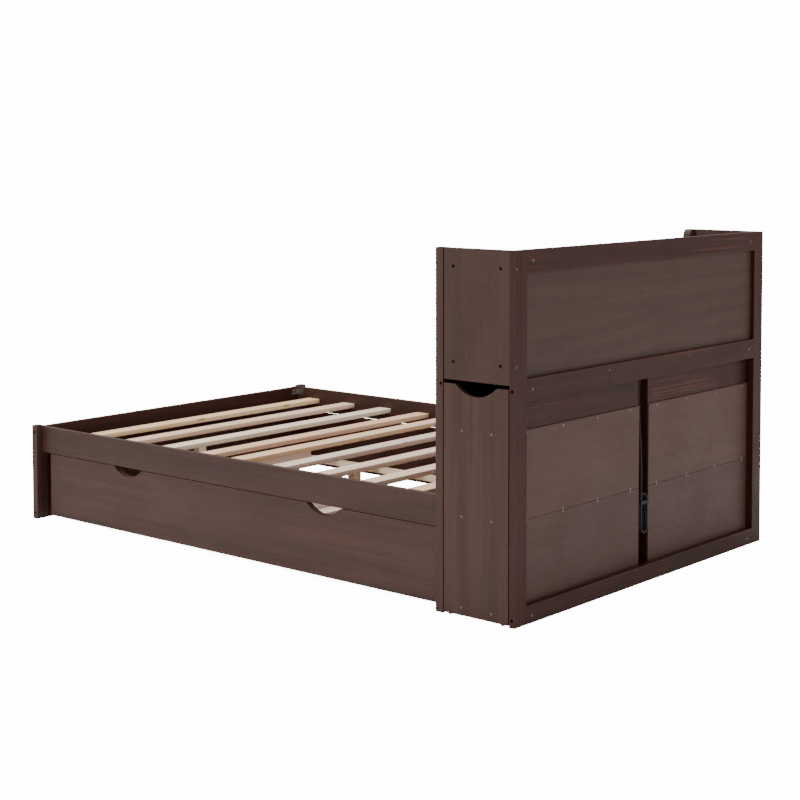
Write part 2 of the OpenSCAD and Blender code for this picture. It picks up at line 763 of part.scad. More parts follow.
module cart_shelves(side) {
    color(dark) sided(side) for (z = shelf_zs)
        board([cart_x0 + board_t, cart_y0, z], [cart_x1, ply_y - ply_t, z + board_t]);
}

module cart_rail(side) {
    z0 = shelf_top_z + board_t;
    color(dark) sided(side) board([cart_x0 + board_t, ply_y - ply_t - cart_rail_t, z0],
                                  [cart_x1, ply_y - ply_t, z0 + cart_rail_h]);
}

// Two thin panels that close the back of the lower shelves
module cart_backs(side) {
    mid = shelf_mid_z + board_t / 2;
    color(dark) sided(side) {
        board([cart_x0, ply_y - ply_t, shelf_low_z], [cart_x1, ply_y, mid - ply_gap / 2]);
        board([cart_x0, ply_y - ply_t, mid + ply_gap / 2], [cart_x1, ply_y, shelf_top_z + board_t]);
    }
}

module cart_glides(side) {
    color(black) sided(side)
        for (x = [cart_x0 + board_t / 2, x_out - board_t / 2])
            for (y = [cart_y0 + glide_in, ply_y - ply_t - glide_in])
                translate([x, y, 0]) cylinder(d1 = 0.75 * glide_d, d2 = glide_d, h = glide_h, $fn = soft);
}

// Nails along the thin backs and screws in the outer panel
module cart_fixings(side) {
    nail_step = (cart_x1 - cart_x0 - nail_in - nail_out) / (nails - 1);
    row = [for (i = [0 : nails - 1]) cart_x0 + nail_in + i * nail_step];
    mid = shelf_mid_z + board_t / 2;
    half = board_t / 2;
    color(steel) sided(side) {
        for (z = [shelf_low_z + half, mid - nail_edge, mid + nail_edge, shelf_top_z + half]) for (x = row)
            translate([x, ply_y, z]) rotate([-90, 0, 0])
                cylinder(d = nail_d, h = nail_proud, $fn = fine);
        for (z = shelf_zs) for (y = cart_screw_ys)
            hole_x(x_out - screw_deep, x_out - screw_sunk, y, z + board_t / 2, screw_head_d);
    }
}

front_post(1);  // front_post_left
front_post(-1);  // front_post_right
rear_stile(1);  // rear_stile_left
rear_stile(-1);  // rear_stile_right
rear_top_rail();
rear_mid_rail();
rear_bottom_rail();
upper_back_panel();
upper_side(1);  // upper_side_left
upper_side(-1);  // upper_side_right
top_board();
bookcase_floor();
dividers();
front_panel();
front_bottom_rail();
cart_stop();
rear_screws();
charging_hub();
cord_grommet();
cord_lead();
cord_hank();
cord_tie();
cord_plug();
foot_post(1);  // foot_post_left
foot_post(-1);  // foot_post_right
foot_board();
corner_brackets();
side_rail(1);  // side_rail_left
side_rail(-1);  // side_rail_right
slat_ledge(1);  // slat_ledge_left
slat_ledge(-1);  // slat_ledge_right
slats_head();
slats_foot();
slat_braces();
frame_bolts();
trundle_front();
trundle_back();
trundle_end_head();
trundle_end_foot();
trundle_ledges();
trundle_slats();
caster_forks();
wheel_front_foot();
wheel_front_head();
wheel_back_foot();
wheel_back_head();
cart_face(1);  // cart_left_face
cart_inner(1);  // cart_left_inner
cart_shelves(1);  // cart_left_shelves
cart_rail(1);  // cart_left_rail
cart_backs(1);  // cart_left_backs
cart_glides(1);  // cart_left_glides
cart_fixings(1);  // cart_left_fixings
cart_face(-1);  // cart_right_face
cart_inner(-1);  // cart_right_inner
cart_shelves(-1);  // cart_right_shelves
cart_rail(-1);  // cart_right_rail
cart_backs(-1);  // cart_right_backs
cart_glides(-1);  // cart_right_glides
cart_fixings(-1);  // cart_right_fixings
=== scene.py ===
# %% [markdown]
# # A trundle bed with a bookcase headboard
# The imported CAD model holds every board, wheel and joint at its real place. This lesson dresses it:
# the boards get eased edges and a stained finish that follows each board's own grain, the slats,
# nails, screws and wheel ribs are grown with Geometry Nodes, and the power lead hangs behind the
# headboard at its real length. Everything is in metres, in the CAD model's own frame.

# %% Load the frame
import bpy, bmesh, json, math, random
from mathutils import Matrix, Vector


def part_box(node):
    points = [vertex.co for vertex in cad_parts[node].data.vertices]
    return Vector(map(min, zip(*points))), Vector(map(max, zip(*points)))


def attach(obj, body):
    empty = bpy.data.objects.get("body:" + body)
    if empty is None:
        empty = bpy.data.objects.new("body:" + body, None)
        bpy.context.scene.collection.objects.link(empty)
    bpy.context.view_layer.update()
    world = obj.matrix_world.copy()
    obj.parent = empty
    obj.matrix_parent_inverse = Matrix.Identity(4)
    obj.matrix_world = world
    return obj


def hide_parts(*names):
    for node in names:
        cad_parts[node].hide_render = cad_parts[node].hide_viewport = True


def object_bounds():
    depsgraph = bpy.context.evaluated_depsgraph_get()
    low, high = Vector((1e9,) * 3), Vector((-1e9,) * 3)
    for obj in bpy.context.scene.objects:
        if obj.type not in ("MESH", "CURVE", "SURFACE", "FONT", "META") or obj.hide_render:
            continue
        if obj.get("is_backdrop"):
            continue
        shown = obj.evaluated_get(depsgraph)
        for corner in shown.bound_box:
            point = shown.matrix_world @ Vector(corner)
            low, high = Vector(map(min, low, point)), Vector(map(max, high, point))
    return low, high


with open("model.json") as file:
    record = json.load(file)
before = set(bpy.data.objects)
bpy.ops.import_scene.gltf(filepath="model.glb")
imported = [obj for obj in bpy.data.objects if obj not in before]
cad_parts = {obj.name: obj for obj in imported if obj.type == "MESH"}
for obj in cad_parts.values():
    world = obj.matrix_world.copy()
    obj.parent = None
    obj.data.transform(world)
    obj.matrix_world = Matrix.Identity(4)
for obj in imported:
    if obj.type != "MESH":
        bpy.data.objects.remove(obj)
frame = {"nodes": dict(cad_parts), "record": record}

CAD_BOX = [list(corner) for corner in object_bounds()]
NODES = frame["nodes"]
BODIES = frame["record"]["behaviour"]["bodies"]
BODY_OF = {node: body for body, nodes in BODIES.items() for node in nodes}
MM = 0.001
print("CAD box", [[round(v, 3) for v in corner] for corner in CAD_BOX])

# %% [markdown]
# ## The camera
# The bed is seen from behind its headboard, from a little above it and from the side where the
# trundle comes out. A long lens stands well back, so the far end of the bed hardly shrinks. The
# lens is shifted down, as on a view camera, which keeps the posts upright in the picture.

# %% Camera
SENSOR, LENS = 36, 75.51  # millimetres
SHIFT_X, SHIFT_Y = -0.0471, -0.1945  # shares of the picture's width
CAMERA_AT = (4.672, 4.172, 1.441)
TILT_DOWN, TURN = 3.34, -230.03  # degrees


def make_camera():
    data = bpy.data.cameras.new("camera")
    data.sensor_width = SENSOR
    data.lens = LENS
    data.shift_x = SHIFT_X
    data.shift_y = SHIFT_Y
    camera = bpy.data.objects.new("camera", data)
    bpy.context.scene.collection.objects.link(camera)
    camera.location = CAMERA_AT
    camera.rotation_euler = (math.radians(90 - TILT_DOWN), 0, math.radians(TURN))
    bpy.context.scene.camera = camera
    return camera


camera = make_camera()
print("camera at", tuple(round(v, 2) for v in camera.location), "with a lens of",
      round(camera.data.lens), "mm")

# %% [markdown]
# ## The power lead
# The headboard's charging hub has a lead six feet long, 6 mm thick. It drops through the grommet
# in the bookcase's floor and hangs between the two carts, and the spare length is folded into a
# hank with a tie round it. The line below starts with listed points. A loop works out the
# hank's turns: down one run, round the lower fold, up the other run and round the upper fold, one
# lead's thickness further forward each time. The bevel is one metre and every point's radius scales
# it down to the lead's own, because Blender adds a point's radius to the box that it measures round
# a curve.

# %% Route of the lead
LEAD_D = 0.006
DROP = [(8, 1135, 740), (8, 1135, 725), (8, 1135, 710), (8, 1135, 695), (9, 1135, 680),
        (9, 1136, 665), (10, 1136, 650), (11, 1136, 630), (12, 1137, 610), (13, 1138, 590),
        (14, 1139, 570), (15, 1140, 550), (15, 1141, 530), (16, 1143, 510), (16, 1144, 490),
        (16, 1146, 470), (16, 1147, 450), (16, 1148, 430), (16, 1149, 410), (16, 1149, 390),
        (16, 1150, 370), (16, 1150, 350), (16, 1150, 330), (16, 1150, 310), (16, 1150, 290),
        (16, 1150, 272)]
TAIL = [(16, 1126, 170), (16, 1126, 155), (16, 1126, 140), (16, 1126, 124)]
HANK_MIDDLE, HANK_FOLD, HANK_TOP, HANK_LOW = -2, 18, 270, 175
HANK_BACK, TURN_STEP = 1150, 6
TURNS = 4


def fold(z, start, y0, y1, steps=18):
    """Points round half a circle of the hank, from an angle to half a turn less, in millimetres."""
    points = []
    for i in range(steps + 1):
        angle = math.radians(start - 180 * i / steps)
        points.append((HANK_MIDDLE + HANK_FOLD * math.cos(angle), y0 + (y1 - y0) * i / steps,
                       z + HANK_FOLD * math.sin(angle)))
    return points


def lead_route():
    """The whole line of the lead, in metres."""
    route = list(DROP)
    for turn in range(TURNS):
        y = HANK_BACK - TURN_STEP * turn
        route += fold(HANK_LOW, 0, y, y)
        route += fold(HANK_TOP, 180, y, y - TURN_STEP)
    route += TAIL
    return [Vector(p) * MM for p in route]


def make_lead():
    curve = bpy.data.curves.new("power_lead", "CURVE")
    curve.dimensions = "3D"
    curve.bevel_depth = 1
    curve.bevel_resolution = 5
    curve.use_fill_caps = True
    spline = curve.splines.new("POLY")
    route = lead_route()
    spline.points.add(len(route) - 1)
    for point, place in zip(spline.points, route):
        point.co = (*place, 1)
        point.radius = LEAD_D / 2
    lead = bpy.data.objects.new("power_lead", curve)
    bpy.context.scene.collection.objects.link(lead)
    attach(lead, "bed")
    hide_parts("cord_lead", "cord_hank")
    length = sum((b - a).length for a, b in zip(route, route[1:]))
    print("lead", round(length, 3), "m long with", len(route), "points")
    return lead, length


lead, lead_length = make_lead()

# %% [markdown]
# ## Shader groups for wood
# Stained pine is not one brown. It has soft light and dark figure that runs along the board, fine
# fibres over it, and pores that hold the stain. Along the edges the colour turns lighter and redder:
# partly the stain worn thin over the reddish wood, partly a painted highlight on the eased edge.
# Every board carries three attributes: where a point lies from the board's middle, measured along,
# across and through it, half the board's size the same way, and a number of its own. One group turns
# the first and last of them into grain, so the grain follows each board whichever way it lies.
# Another group finds the edges from the first two.

# %% Helpers for node groups
def new_group(name, inputs, outputs):
    """An empty shader group. inputs and outputs are {name: default} and a list of names."""
    group = bpy.data.node_groups.new(name, "ShaderNodeTree")
    for label, default in inputs.items():
        socket = group.interface.new_socket(label, in_out="INPUT", socket_type="NodeSocketFloat")
        socket.default_value = default
    for label in outputs:
        group.interface.new_socket(label, in_out="OUTPUT", socket_type="NodeSocketFloat")
    given = group.nodes.new("NodeGroupInput").outputs
    return group, given, group.nodes.new("NodeGroupOutput").inputs


def put(tree, socket, value):
    """Links a value into a socket, or sets it there when it is a plain number or colour."""
    if isinstance(value, bpy.types.NodeSocket):
        tree.links.new(value, socket)
    else:
        socket.default_value = value


def add(tree, kind, settings=None, **inputs):
    """A node with its settings. Its inputs are given by name, or as i0, i1 by their order."""
    node = tree.nodes.new(kind)
    for key, value in (settings or {}).items():
        setattr(node, key, value)
    for key, value in inputs.items():
        numbered = key[0] == "i" and key[1:].isdigit()
        put(tree, node.inputs[int(key[1:]) if numbered else key.replace("_", " ")], value)
    return node


def maths(tree, operation, a, b=0.0):
    return add(tree, "ShaderNodeMath", {"operation": operation}, i0=a, i1=b).outputs[0]


def vector_maths(tree, operation, a, b=(0, 0, 0)):
    return add(tree, "ShaderNodeVectorMath", {"operation": operation}, i0=a, i1=b).outputs[0]


def combine(tree, x=0.0, y=0.0, z=0.0):
    return add(tree, "ShaderNodeCombineXYZ", None, X=x, Y=y, Z=z).outputs[0]


def remap(tree, value, low, high, to_low=0.0, to_high=1.0):
    return add(tree, "ShaderNodeMapRange", {"interpolation_type": "SMOOTHSTEP"},
               i0=value, i1=low, i2=high, i3=to_low, i4=to_high).outputs[0]


def mix_colour(tree, factor, a, b):
    node = add(tree, "ShaderNodeMix", {"data_type": "RGBA"}, i0=factor, i6=a, i7=b)
    return node.outputs[2]


def noise(tree, vector, scale=1.0, detail=2.0, rough=0.5):
    return add(tree, "ShaderNodeTexNoise", None, Vector=vector, Scale=scale, Detail=detail,
               Roughness=rough).outputs[0]


def board_attribute(tree, name, output="Vector"):
    return add(tree, "ShaderNodeAttribute", {"attribute_name": name}).outputs[output]


# %% Wood grain group
def make_grain_group():
    """Figure, fibres, pores and streaks of a board, all stretched along its length."""
    group, given, result = new_group("wood_grain", {"Figure Width": 0.03, "Fibre Width": 0.0012},
                                     ["Figure", "Fibres", "Pores", "Streaks"])
    own = board_attribute(group, "board_seed", "Fac")
    shift = combine(group, maths(group, "MULTIPLY", own, 3.7), maths(group, "MULTIPLY", own, 1.3),
                    maths(group, "MULTIPLY", own, 2.1))
    place = vector_maths(group, "ADD", board_attribute(group, "board_at"), shift)
    # Growth rings: layers through the board, bent slowly along it and cut by its surface
    bend = noise(group, vector_maths(group, "MULTIPLY", place, (0.4, 2.0, 2.0)), detail=1.0)
    part = add(group, "ShaderNodeSeparateXYZ", None, Vector=place).outputs
    depth = maths(group, "ADD", maths(group, "MULTIPLY", part[1], 0.5), part[2])
    rings = maths(group, "ADD", maths(group, "DIVIDE", depth, given["Figure Width"]),
                  maths(group, "MULTIPLY", bend, 8.0))
    wave = maths(group, "SINE", maths(group, "MULTIPLY", rings, 2 * math.pi))
    wave = maths(group, "ADD", maths(group, "MULTIPLY", wave, 0.5), 0.5)
    bands = noise(group, vector_maths(group, "MULTIPLY", place, (1.2, 34.0, 34.0)), detail=5.0,
                  rough=0.65)
    put(group, result["Figure"], maths(group, "ADD", maths(group, "MULTIPLY", wave, 0.12),
                                       maths(group, "MULTIPLY", bands, 0.88)))
    fine = maths(group, "DIVIDE", 1.0, given["Fibre Width"])
    threads = vector_maths(group, "MULTIPLY", place, (0.015, 1.0, 1.0))
    put(group, result["Fibres"], noise(group, threads, fine, 3.0, 0.65))
    dots = noise(group, vector_maths(group, "MULTIPLY", place, (0.05, 1.0, 1.0)), fine, 1.0)
    put(group, result["Pores"], remap(group, dots, 0.62, 0.72))
    # Streaks: a few narrow light lines, only in some stretches of some boards
    lines = noise(group, vector_maths(group, "MULTIPLY", place, (0.9, 160.0, 160.0)), detail=3.0,
                  rough=0.6)
    where = noise(group, vector_maths(group, "MULTIPLY", place, (2.2, 9.0, 9.0)), detail=1.0)
    put(group, result["Streaks"], maths(group, "MULTIPLY", remap(group, lines, 0.5, 0.68),
                                        remap(group, where, 0.47, 0.66)))
    return group


GRAIN = make_grain_group()
print("grain group:", len(GRAIN.nodes), "nodes")


# %% Edge wear and painted highlight group
def make_rub_and_highlight_group():
    """How near a point is to its board's edges, with a ragged border."""
    group, given, result = new_group("rubbed_edges_and_painted_highlight", {"Width": 0.004, "Break Up": 0.5}, ["Worn"])
    at = board_attribute(group, "board_at")
    inward = vector_maths(group, "SUBTRACT", board_attribute(group, "board_half"),
                          vector_maths(group, "ABSOLUTE", at))
    a, b, c = add(group, "ShaderNodeSeparateXYZ", None, Vector=inward).outputs
    # On a face one of the three distances is nothing, and the middle one leads to the edge
    low, high = maths(group, "MINIMUM", a, b), maths(group, "MAXIMUM", a, b)
    middle = maths(group, "MAXIMUM", low, maths(group, "MINIMUM", high, c))
    rough = maths(group, "SUBTRACT", noise(group, at, 38.0, 4.0, 0.7), 0.5)
    ragged = maths(group, "MULTIPLY", rough, maths(group, "MULTIPLY", given["Break Up"], 4.0))
    reach = maths(group, "MULTIPLY", given["Width"], maths(group, "ADD", ragged, 1.0))
    least = 0.4 * MM
    near = maths(group, "DIVIDE", middle, maths(group, "MAXIMUM", reach, least))
    put(group, result["Worn"], remap(group, maths(group, "SUBTRACT", 1.0, near), 0.0, 1.0))
    return group


RUBBED_EDGES_AND_HIGHLIGHT = make_rub_and_highlight_group()
print("wear group:", len(RUBBED_EDGES_AND_HIGHLIGHT.nodes), "nodes")


# %% Handling group
def make_handling_group():
    """Dust and hand marks: slow patches that dull a finish, and fine specks."""
    group, given, result = new_group("handling", {"Size": 0.12}, ["Patches", "Specks"])
    where = add(group, "ShaderNodeTexCoord").outputs["Object"]
    patches = noise(group, where, maths(group, "DIVIDE", 1.0, given["Size"]), 4.0, 0.6)
    put(group, result["Patches"], remap(group, patches, 0.35, 0.7))
    put(group, result["Specks"], remap(group, noise(group, where, 900.0, 1.0), 0.68, 0.76))
    return group


HANDLING = make_handling_group()
print("handling group:", len(HANDLING.nodes), "nodes")

# %% [markdown]
# ## Finishes
# The frame, shelves and fronts have a dark espresso stain under a satin lacquer. The thin panels
# take the same stain smoother, because plywood's surface is sliced, not sawn. The stain comes in
# lit and shaded copies: painted light makes it lighter on the sides and the trundle's front, painted
# sheen makes it lighter and greyer on the panels and the carts' plywood, and painted shade makes it
# darker and redder on the rear frame, the cart rails and the inner pieces.
# The slats and the pieces that carry them are planed pine without a finish. Each finish is its own
# material with its own Principled shader, and takes its masks from the groups above.

# %% A material to start from
def new_material(name):
    material = bpy.data.materials.new(name)
    material.use_nodes = True
    tree = material.node_tree
    return material, tree, tree.nodes["Principled BSDF"].inputs


def use_group(tree, group, **values):
    node = add(tree, "ShaderNodeGroup", {"node_tree": group})
    for key, value in values.items():
        put(tree, node.inputs[key.replace("_", " ")], value)
    return node.outputs


def weight(tree, mask, amount):
    return maths(tree, "MULTIPLY", mask, amount)


# %% Espresso stain
DUST = (0.3, 0.27, 0.24, 1)


def espresso(name, dark, light, red, figure=0.03, wear=0.003, gloss=0.42, streaks=0.5,
             shine=0.36):
    """Stained wood. figure and wear are widths in metres, and gloss is the least roughness. The wear
    band along the edges is partly rubbed stain and partly a painted highlight.
    """
    material, tree, shader = new_material(name)
    grain = use_group(tree, GRAIN, Figure_Width=figure, Fibre_Width=0.0011)
    rubbed_and_highlit = use_group(tree, RUBBED_EDGES_AND_HIGHLIGHT, Width=wear, Break_Up=0.55)["Worn"]
    marks = use_group(tree, HANDLING, Size=0.2)
    fibre = remap(tree, grain["Fibres"], 0.3, 0.75)
    base = mix_colour(tree, remap(tree, grain["Figure"], 0.34, 0.66), dark, light)
    base = mix_colour(tree, weight(tree, fibre, 0.10), base, red)
    base = mix_colour(tree, weight(tree, grain["Streaks"], streaks), base, red)
    pore = tuple(v * 0.45 for v in dark[:3]) + (1,)
    base = mix_colour(tree, weight(tree, grain["Pores"], 0.35), base, pore)
    # Lighter red along the edges: partly stain worn thin, partly a painted highlight.
    base = mix_colour(tree, weight(tree, rubbed_and_highlit, 0.45), base, red)
    own = maths(tree, "FRACT", weight(tree, board_attribute(tree, "board_seed", "Fac"), 7.31))
    base = add(tree, "ShaderNodeHueSaturation", None, Value=remap(tree, own, 0.0, 1.0, 0.93, 1.07),
               Color=base).outputs[0]
    base = mix_colour(tree, weight(tree, marks["Specks"], 0.05), base, DUST)
    put(tree, shader["Base Color"], base)
    dull = maths(tree, "ADD", weight(tree, marks["Patches"], 0.1),
                 weight(tree, grain["Pores"], 0.15))
    dull = maths(tree, "ADD", dull, weight(tree, rubbed_and_highlit, 0.1))
    put(tree, shader["Roughness"], maths(tree, "ADD", dull, gloss))
    relief = maths(tree, "SUBTRACT", weight(tree, fibre, 0.5), grain["Pores"])
    put(tree, shader["Normal"], add(tree, "ShaderNodeBump", None, Strength=0.2, Distance=0.0003,
                                    Height=relief).outputs[0])
    shader["Specular IOR Level"].default_value = shine
    return material


def tinted(colour, red, green, blue):
    """A stain's colour, made stronger or weaker in each of red, green and blue."""
    return (colour[0] * red, colour[1] * green, colour[2] * blue, 1)


STAIN_DARK, STAIN_LIGHT = (0.0300, 0.0135, 0.0095), (0.0440, 0.0205, 0.0145)
STAIN_RED = (0.115, 0.036, 0.020)


def stain(name, dark_tint, light_tint, red_tint, **recipe):
    return espresso(name, tinted(STAIN_DARK, *dark_tint), tinted(STAIN_LIGHT, *light_tint),
                    tinted(STAIN_RED, *red_tint), **recipe)


# Lit and shaded copies of one stain: the side, front, panel and ply copies are lighter as painted
# light and sheen, and the frame copy is darker and redder as painted shade.
PAINTED_LIGHT_SIDES = stain("espresso_painted_light_sides", (1.15, 1.04, 0.93), (1.15, 1.04, 0.93), (0.8, 0.8, 0.8),
                   figure=0.05, gloss=0.44, streaks=0.1, shine=0.3)
PAINTED_LIGHT_FRONT = stain("espresso_painted_light_front", (1.32, 1.2, 1.08), (1.32, 1.2, 1.08), (0.8, 0.8, 0.8),
                    figure=0.06, gloss=0.44, streaks=0.15, shine=0.3)
PAINTED_SHADE_FRAME = stain("espresso_painted_shade_frame", (0.78, 0.42, 0.33), (0.78, 0.42, 0.33), (0.9, 0.7, 0.6),
                    streaks=0.6, shine=0.24)
PAINTED_SHEEN_PANELS = stain("espresso_painted_sheen_panels", (1.35, 1.33, 1.25), (1.2, 1.15, 1.05), (0.7, 1.0, 1.1),
                    figure=0.08, wear=0.0012, gloss=0.45, streaks=0.15, shine=0.32)
PAINTED_LIGHT_PLY = stain("espresso_painted_light_ply", (2.0, 1.9, 1.85), (1.6, 1.5, 1.5), (0.8, 1.3, 1.5),
                  figure=0.09, wear=0.0008, gloss=0.46, streaks=0.1)
STAINS = (PAINTED_LIGHT_SIDES, PAINTED_LIGHT_FRONT, PAINTED_SHADE_FRAME, PAINTED_SHEEN_PANELS, PAINTED_LIGHT_PLY)
print("espresso finishes:", [material.name for material in STAINS])


# %% Raw pine
SAPWOOD, HEARTWOOD = (0.83, 0.60, 0.42, 1), (0.70, 0.45, 0.29, 1)
PALE_FIBRE, KNOT = (0.90, 0.72, 0.55, 1), (0.33, 0.16, 0.07, 1)


def raw_pine(name):
    """Planed pine: its own hue on every slat, and here and there a knot."""
    material, tree, shader = new_material(name)
    grain = use_group(tree, GRAIN, Figure_Width=0.012, Fibre_Width=0.0012)
    marks = use_group(tree, HANDLING, Size=0.3)
    base = mix_colour(tree, remap(tree, grain["Figure"], 0.3, 0.7), SAPWOOD, HEARTWOOD)
    fibre = remap(tree, grain["Fibres"], 0.35, 0.7)
    base = mix_colour(tree, weight(tree, fibre, 0.25), base, PALE_FIBRE)
    own = board_attribute(tree, "board_seed", "Fac")
    place = vector_maths(tree, "ADD", board_attribute(tree, "board_at"), combine(tree, own, own))
    cells = add(tree, "ShaderNodeTexVoronoi", None, Scale=1.0,
                Vector=vector_maths(tree, "MULTIPLY", place, (3.4, 9.0, 9.0)))
    knot = remap(tree, cells.outputs["Distance"], 0.05, 0.12, 1.0, 0.0)
    base = mix_colour(tree, weight(tree, knot, 0.6), base, KNOT)
    tone = maths(tree, "FRACT", weight(tree, own, 5.13))
    other = maths(tree, "FRACT", weight(tree, own, 9.7))
    put(tree, shader["Base Color"], add(tree, "ShaderNodeHueSaturation", None, Color=base,
                                        Hue=remap(tree, tone, 0.0, 1.0, 0.487, 0.519),
                                        Saturation=remap(tree, other, 0.0, 1.0, 0.7, 1.15),
                                        Value=remap(tree, tone, 0.0, 1.0, 0.97, 1.06)).outputs[0])
    put(tree, shader["Roughness"], maths(tree, "ADD", weight(tree, marks["Patches"], 0.1), 0.62))
    put(tree, shader["Normal"], add(tree, "ShaderNodeBump", None, Strength=0.35, Distance=0.0004,
                                    Height=grain["Fibres"]).outputs[0])
    shader["Specular IOR Level"].default_value = 0.3
    return material


PINE = raw_pine("raw_pine")
print("pine:", PINE.name)


# %% Metal, plastic and vinyl
def fine_finish(name, colour, metallic, rough, texture):
    """A plain finish with a fine surface texture, given by its size, and patchy gloss."""
    material, tree, shader = new_material(name)
    marks = use_group(tree, HANDLING, Size=0.04)
    darker = tuple(v * 0.7 for v in colour) + (1,)
    put(tree, shader["Base Color"], mix_colour(tree, marks["Patches"], colour + (1,), darker))
    put(tree, shader["Roughness"], maths(tree, "ADD", weight(tree, marks["Patches"], 0.15), rough))
    shader["Metallic"].default_value = metallic
    shader["Specular IOR Level"].default_value = 0.3
    grit = noise(tree, add(tree, "ShaderNodeTexCoord").outputs["Object"], 1 / texture)
    put(tree, shader["Normal"], add(tree, "ShaderNodeBump", None, Strength=0.3, Distance=0.00005,
                                    Height=grit).outputs[0])
    return material


ZINC = fine_finish("zinc_plate", (0.36, 0.34, 0.32), 1.0, 0.36, 0.0006)
SCREW = fine_finish("screw_steel", (0.27, 0.22, 0.19), 1.0, 0.4, 0.0006)
BLACK_STEEL = fine_finish("black_steel", (0.035, 0.033, 0.032), 1.0, 0.45, 0.0006)
BLACK_PLASTIC = fine_finish("moulded_plastic", (0.013, 0.013, 0.014), 0.0, 0.46, 0.0005)
WHEEL_NYLON = fine_finish("wheel_nylon", (0.035, 0.035, 0.038), 0.0, 0.38, 0.0008)
CORD_VINYL = fine_finish("lead_vinyl", (0.010, 0.010, 0.010), 0.0, 0.2, 0.0009)
PLUG_VINYL = fine_finish("plug_vinyl", (0.020, 0.020, 0.021), 0.0, 0.30, 0.0006)
BRASS = fine_finish("plug_blade", (0.60, 0.52, 0.36), 1.0, 0.28, 0.0006)
SLOT_DARK = fine_finish("socket_dark", (0.006, 0.006, 0.006), 0.0, 0.6, 0.0006)
lead.data.materials.append(CORD_VINYL)
SMALL = (ZINC, SCREW, BLACK_STEEL, BLACK_PLASTIC, WHEEL_NYLON, CORD_VINYL, PLUG_VINYL, BRASS)
print("small finishes:", [material.name for material in SMALL])

# %% [markdown]
# ## Boards with eased edges
# A sawn board never has a razor edge: it is sanded, and the small round along each edge catches the
# light. A copy of each CAD board gets that round with a bevel, in mesh code, and stands in for the
# plain one. The copy is merged first, because a CAD mesh is loose triangles, and its flat faces are
# dissolved into single faces, so that the bevel sees only the real edges.

# %% Board attributes
def islands(mesh):
    """Lists of vertex numbers, one for each separate solid in a merged mesh."""
    owner = list(range(len(mesh.vertices)))

    def find(i):
        while owner[i] != i:
            owner[i] = owner[owner[i]]
            i = owner[i]
        return i

    for edge in mesh.edges:
        a, b = (find(i) for i in edge.vertices)
        owner[a] = b
    groups = {}
    for i in range(len(owner)):
        groups.setdefault(find(i), []).append(i)
    corner = lambda ids: tuple(round(v, 3) for v in mesh.vertices[ids[0]].co)
    return sorted(groups.values(), key=corner)


def box_of(mesh, ids):
    """The lowest and highest corner of some of a mesh's points."""
    points = [mesh.vertices[i].co for i in ids]
    low = Vector([min(p[k] for p in points) for k in range(3)])
    high = Vector([max(p[k] for p in points) for k in range(3)])
    return low, high


def stamp_boards(mesh, name):
    """Writes each board's own coordinates, half size and number on its points."""
    kinds = {"board_at": "FLOAT_VECTOR", "board_half": "FLOAT_VECTOR", "board_seed": "FLOAT"}
    for label, kind in kinds.items():
        mesh.attributes.new(label, kind, "POINT")
    at, half, seed = (mesh.attributes[label] for label in kinds)
    draw = random.Random(name)
    for ids in islands(mesh):
        low, high = box_of(mesh, ids)
        order = sorted(range(3), key=lambda k: low[k] - high[k])
        middle, size, number = (low + high) / 2, high - low, draw.uniform(0, 9)
        for i in ids:
            place = mesh.vertices[i].co - middle
            at.data[i].vector = [place[k] for k in order]
            half.data[i].vector = [size[k] / 2 for k in order]
            seed.data[i].value = number


# %% Eased copies
BOARD_ROUND, SMALL_ROUND, THIN_ROUND, FINE_ROUND = 1.2 * MM, 0.8 * MM, 0.5 * MM, 0.3 * MM


def link(name, mesh):
    piece = bpy.data.objects.new(name, mesh)
    bpy.context.scene.collection.objects.link(piece)
    return piece


def finish_piece(piece, material, slot, *nodes, body=None):
    """Gives a piece its material, the nodes it stands for and the body it rides. slot is not used."""
    if material is not None:
        piece.data.materials.clear()
        piece.data.materials.append(material)
    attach(piece, body or BODY_OF[nodes[0]])
    if nodes:
        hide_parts(*nodes)
    return piece


def merged(node):
    """A node's mesh in bmesh, merged, with its flat faces made whole."""
    work = bmesh.new()
    work.from_mesh(NODES[node].data)
    bmesh.ops.remove_doubles(work, verts=work.verts, dist=1e-6)
    bmesh.ops.dissolve_limit(work, angle_limit=math.radians(0.5), verts=work.verts,
                             edges=work.edges)
    return work


def to_mesh(work, name):
    mesh = bpy.data.meshes.new(name)
    work.to_mesh(mesh)
    work.free()
    return mesh


def eased_mesh(node, width):
    """A copy of a CAD node's mesh with its sharp edges rounded."""
    work = merged(node)
    corner = math.radians(50)
    sharp = [e for e in work.edges if len(e.link_faces) == 2 and e.calc_face_angle() > corner]
    bmesh.ops.bevel(work, geom=sharp, offset=width, offset_type="OFFSET", segments=3,
                    profile=0.5, affect="EDGES", clamp_overlap=False)
    return to_mesh(work, node + "_eased")


def eased(node, material, slot, width=BOARD_ROUND):
    """An eased copy of a CAD node that stands in for it."""
    mesh = eased_mesh(node, width)
    stamp_boards(mesh, node)
    return finish_piece(link(node + "_piece", mesh), material, slot, node)


SLOT_OF = {part["node"]: part["material_slot"] for part in frame["record"]["subparts"]}
SLATTED = ["slats_head", "slats_foot", "trundle_slats"]


def nodes_in(slot):
    return sorted(n for n in NODES if SLOT_OF[n] == slot)


